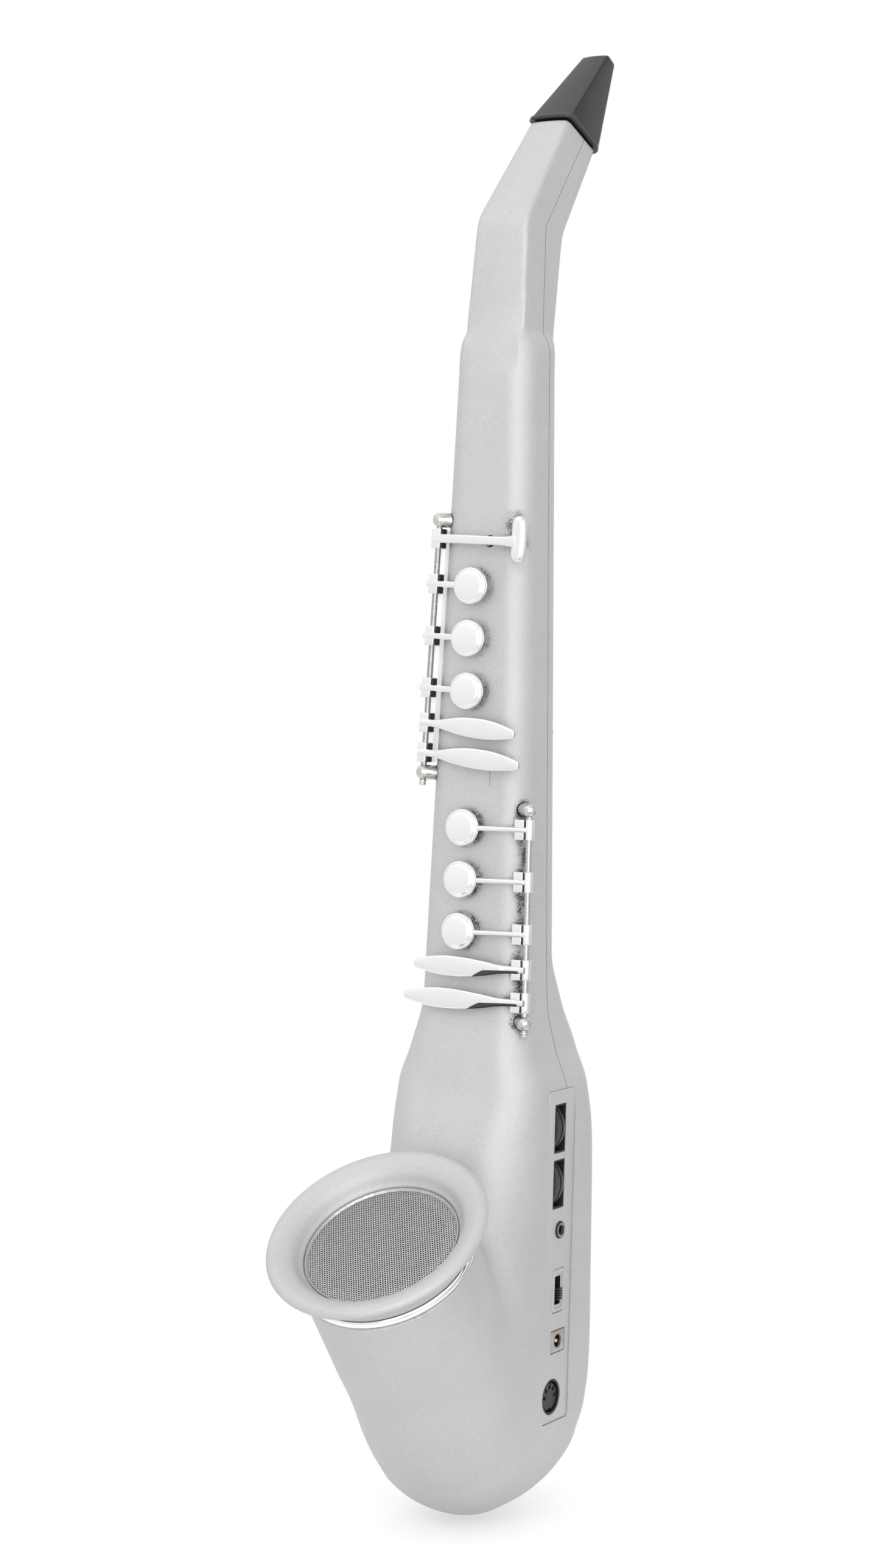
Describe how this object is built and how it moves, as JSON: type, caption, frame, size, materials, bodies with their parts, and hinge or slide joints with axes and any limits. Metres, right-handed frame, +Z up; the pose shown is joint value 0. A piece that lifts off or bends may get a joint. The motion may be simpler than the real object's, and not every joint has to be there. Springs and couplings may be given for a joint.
{
  "type": "digital wind controller",
  "caption": "Keyed electronic horn: tapered two-shell body with bent neck and mouthpiece, two hinged key stacks, flared speaker bell, side socket panel, battery bay.",
  "frame": {"origin": "centre of the neck strap ring's hinge at the back of the stem", "axes": "+Z up the body to the mouthpiece, -Y to the front with keys and bell, +X to the side with the sockets"},
  "size_m": [0.0928, 0.1983, 0.6228],
  "materials": {
    "paint": "silver metallic paint over moulded plastic, fine grain",
    "chrome": "mirror plating",
    "steel": "plain bright metal",
    "dark_plastic": "satin dark plastic",
    "black_plastic": "satin black plastic",
    "rubber": "soft matt rubber",
    "circuit_board": "glass fibre board with green coating",
    "paper": "pressed paper cone",
    "brass": "spring brass",
    "cell_skin": "shrink sleeve"
  },
  "bodies": {
    "body": {"upper_hinge_rod": "steel", "upper_post_bottom": "steel", "upper_post_top": "steel", "upper_rail": "paint", "lower_hinge_rod": "steel", "lower_post_top": "steel", "lower_post_bottom": "steel", "front_shell": "paint", "rear_shell": "paint", "side_panel": "dark_plastic", "bell": "paint", "bell_ring": "chrome", "grille": "chrome", "speaker_frame": "steel", "speaker_cone": "paper", "speaker_magnet": "steel", "mouthpiece": "dark_plastic", "breath_tube": "rubber", "breath_sensor": "black_plastic", "key_board": "circuit_board", "key_contacts": "rubber", "main_board": "circuit_board", "jack_board": "circuit_board", "octave_board": "circuit_board", "phones_jack": "black_plastic", "power_switch_case": "black_plastic", "dc_jack": "black_plastic", "midi_socket": "black_plastic", "volume_pot": "steel", "tuning_pot": "steel", "battery_contact_bottom": "brass", "battery_contact_top": "brass", "battery_cell_1_1": "cell_skin", "battery_cell_1_2": "cell_skin", "battery_cell_2_1": "cell_skin", "battery_cell_2_2": "cell_skin", "battery_cell_3_1": "cell_skin", "battery_cell_3_2": "cell_skin", "thumb_hook": "chrome", "strap_eye": "steel"},
    "upper_disc_key_1": {"upper_disc_key_1": "chrome"},
    "upper_disc_key_2": {"upper_disc_key_2": "chrome"},
    "upper_disc_key_3": {"upper_disc_key_3": "chrome"},
    "upper_leaf_key_1": {"upper_leaf_key_1": "chrome"},
    "upper_leaf_key_2": {"upper_leaf_key_2": "chrome"},
    "upper_tee_key": {"upper_tee_key": "chrome"},
    "lower_disc_key_1": {"lower_disc_key_1": "chrome"},
    "lower_disc_key_2": {"lower_disc_key_2": "chrome"},
    "lower_disc_key_3": {"lower_disc_key_3": "chrome"},
    "lower_leaf_key_1": {"lower_leaf_key_1": "chrome"},
    "lower_leaf_key_2": {"lower_leaf_key_2": "chrome"},
    "octave_down_key": {"octave_down_key": "chrome"},
    "octave_up_key": {"octave_up_key": "chrome"},
    "volume_wheel": {"volume_wheel": "black_plastic"},
    "tuning_wheel": {"tuning_wheel": "black_plastic"},
    "power_switch_knob": {"power_switch_knob": "black_plastic"},
    "battery_door": {"battery_door": "paint"},
    "strap_ring": {"strap_ring": "steel"}
  },
  "joints": [
    {"name": "upper_disc_key_1_press", "type": "hinge", "parent": "body", "child": "upper_disc_key_1", "pos_m": [-0.02288, -0.03797, 0.06131], "axis": [0.0376, 0.0167, 0.9992], "range_deg": [0, 4.5], "stiffness_Nm_per_rad": 0.08, "springref_deg": -5.73},
    {"name": "upper_disc_key_2_press", "type": "hinge", "parent": "body", "child": "upper_disc_key_2", "pos_m": [-0.02369, -0.03833, 0.03968], "axis": [0.0376, 0.0167, 0.9992], "range_deg": [0, 4.5], "stiffness_Nm_per_rad": 0.08, "springref_deg": -5.73},
    {"name": "upper_disc_key_3_press", "type": "hinge", "parent": "body", "child": "upper_disc_key_3", "pos_m": [-0.02451, -0.03869, 0.01795], "axis": [0.0376, 0.0167, 0.9992], "range_deg": [0, 4.5], "stiffness_Nm_per_rad": 0.08, "springref_deg": -5.73},
    {"name": "upper_leaf_key_1_press", "type": "hinge", "parent": "body", "child": "upper_leaf_key_1", "pos_m": [-0.02506, -0.03894, 0.00328], "axis": [0.0376, 0.0167, 0.9992], "range_deg": [0, 3.5], "stiffness_Nm_per_rad": 0.08, "springref_deg": -5.73},
    {"name": "upper_leaf_key_2_press", "type": "hinge", "parent": "body", "child": "upper_leaf_key_2", "pos_m": [-0.02553, -0.03914, -0.00927], "axis": [0.0376, 0.0167, 0.9992], "range_deg": [0, 3.5], "stiffness_Nm_per_rad": 0.08, "springref_deg": -5.73},
    {"name": "upper_tee_key_press", "type": "hinge", "parent": "body", "child": "upper_tee_key", "pos_m": [-0.02217, -0.03765, 0.08019], "axis": [0.0376, 0.0167, 0.9992], "range_deg": [0, 4], "stiffness_Nm_per_rad": 0.08, "springref_deg": -5.73},
    {"name": "lower_disc_key_1_press", "type": "hinge", "parent": "body", "child": "lower_disc_key_1", "pos_m": [0.0263, -0.03964, -0.039], "axis": [0.0126, -0.0167, -0.9998], "range_deg": [0, 4.5], "stiffness_Nm_per_rad": 0.08, "springref_deg": -5.73},
    {"name": "lower_disc_key_2_press", "type": "hinge", "parent": "body", "child": "lower_disc_key_2", "pos_m": [0.02657, -0.04, -0.06056], "axis": [0.0126, -0.0167, -0.9998], "range_deg": [0, 4.5], "stiffness_Nm_per_rad": 0.08, "springref_deg": -5.73},
    {"name": "lower_disc_key_3_press", "type": "hinge", "parent": "body", "child": "lower_disc_key_3", "pos_m": [0.02684, -0.04036, -0.08212], "axis": [0.0126, -0.0167, -0.9998], "range_deg": [0, 4.5], "stiffness_Nm_per_rad": 0.08, "springref_deg": -5.73},
    {"name": "lower_leaf_key_1_press", "type": "hinge", "parent": "body", "child": "lower_leaf_key_1", "pos_m": [0.02703, -0.0406, -0.09672], "axis": [0.0126, -0.0167, -0.9998], "range_deg": [0, 3.5], "stiffness_Nm_per_rad": 0.08, "springref_deg": -5.73},
    {"name": "lower_leaf_key_2_press", "type": "hinge", "parent": "body", "child": "lower_leaf_key_2", "pos_m": [0.0272, -0.04083, -0.11028], "axis": [0.0126, -0.0167, -0.9998], "range_deg": [0, 3.5], "stiffness_Nm_per_rad": 0.08, "springref_deg": -5.73},
    {"name": "octave_down_key_press", "type": "hinge", "parent": "body", "child": "octave_down_key", "pos_m": [0, -0.00395, 0.059], "axis": [1, 0, 0], "range_deg": [0, 4.5], "stiffness_Nm_per_rad": 0.08, "springref_deg": -5.73},
    {"name": "octave_up_key_press", "type": "hinge", "parent": "body", "child": "octave_up_key", "pos_m": [0, -0.00397, 0.081], "axis": [1, 0, 0], "range_deg": [0, 4.5], "stiffness_Nm_per_rad": 0.08, "springref_deg": -5.73},
    {"name": "volume_wheel_turn", "type": "hinge", "parent": "body", "child": "volume_wheel", "pos_m": [0.0247, -0.02122, -0.164], "axis": [0, 1, 0], "range_deg": [-135, 135]},
    {"name": "tuning_wheel_turn", "type": "hinge", "parent": "body", "child": "tuning_wheel", "pos_m": [0.0247, -0.02122, -0.1874], "axis": [0, 1, 0], "range_deg": [-135, 135]},
    {"name": "power_switch_slide", "type": "slide", "parent": "body", "child": "power_switch_knob", "axis": [0, 0, 1], "range_m": [-0.0019, 0.0046]},
    {"name": "battery_door_release", "type": "slide", "parent": "body", "child": "battery_door", "axis": [0, 1, 0], "range_m": [0, 0.015]},
    {"name": "strap_ring_swing", "type": "hinge", "parent": "body", "child": "strap_ring", "pos_m": [0, 0, 0], "axis": [1, 0, 0], "range_deg": [-8, 120]}
  ]
}
